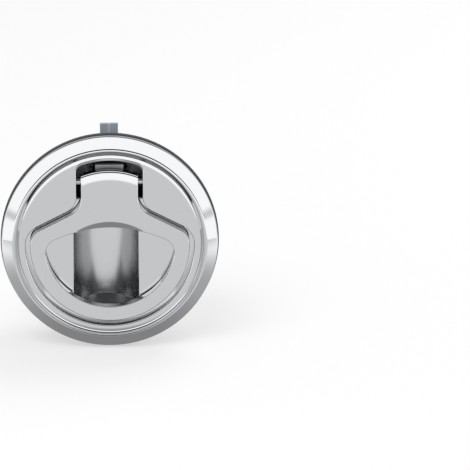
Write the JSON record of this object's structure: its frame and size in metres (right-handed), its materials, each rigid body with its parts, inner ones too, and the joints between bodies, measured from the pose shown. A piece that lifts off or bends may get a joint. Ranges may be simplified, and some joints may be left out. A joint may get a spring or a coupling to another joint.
{
  "type": "flush pull latch",
  "caption": "Round chrome flush pull latch: a hinged lift handle in a bevelled flange draws a spring bolt in, and a rear bracket clamps the panel.",
  "frame": {"origin": "centre of the seal's rear face, on the panel's front face and on the hole's axis", "axes": "+Y into the panel along the hole's axis, +Z the way the bolt comes out, +X to the right seen from the front"},
  "size_m": [0.0635, 0.0399, 0.0634],
  "materials": {
    "chrome": "bright chrome plate on a zinc casting",
    "polished_handle": "bright chrome plate, very finely brushed on its flat face",
    "steel": "plain turned steel, zinc plated",
    "spring_steel": "drawn spring wire",
    "zinc_bolt": "blue-grey zinc plate, satin",
    "plated_sheet": "zinc-plated pressed sheet",
    "rubber": "black moulded rubber"
  },
  "bodies": {
    "housing": {"housing": "chrome", "gasket": "rubber", "hinge_pin": "steel", "handle_spring_left": "spring_steel", "handle_spring_right": "spring_steel", "bolt_spring": "spring_steel", "spring_guide_rod": "steel", "handle_bumper_left": "rubber", "handle_bumper_right": "rubber", "back_cover": "plated_sheet", "cover_screw_1": "steel", "cover_screw_2": "steel", "cover_screw_3": "steel", "cover_screw_4": "steel"},
    "handle": {"pull_handle": "polished_handle"},
    "bolt": {"latch_bolt": "zinc_bolt"},
    "bracket": {"mounting_bracket": "plated_sheet", "bracket_screw_left": "steel", "bracket_screw_right": "steel", "lock_washer_left": "spring_steel", "lock_washer_right": "spring_steel"}
  },
  "joints": [
    {"name": "handle_hinge", "type": "hinge", "parent": "housing", "child": "handle", "pos_m": [0, -0.001, 0.0175], "axis": [-1, 0, 0], "range_deg": [0, 45], "stiffness_Nm_per_rad": 0.06, "springref_deg": -17.19, "deforming": ["handle_spring_left", "handle_spring_right"]},
    {"name": "bolt_slide", "type": "slide", "parent": "housing", "child": "bolt", "axis": [0, 0, -1], "range_m": [0, 0.0068], "deforming": ["bolt_spring"]},
    {"name": "bracket_slide", "type": "slide", "parent": "housing", "child": "bracket", "axis": [0, 1, 0], "range_m": [-0.006, 0.022]}
  ],
  "couplings": [
    {"joint": "bolt_slide", "follows": "handle_hinge", "m_per_rad": 0.00865}
  ]
}
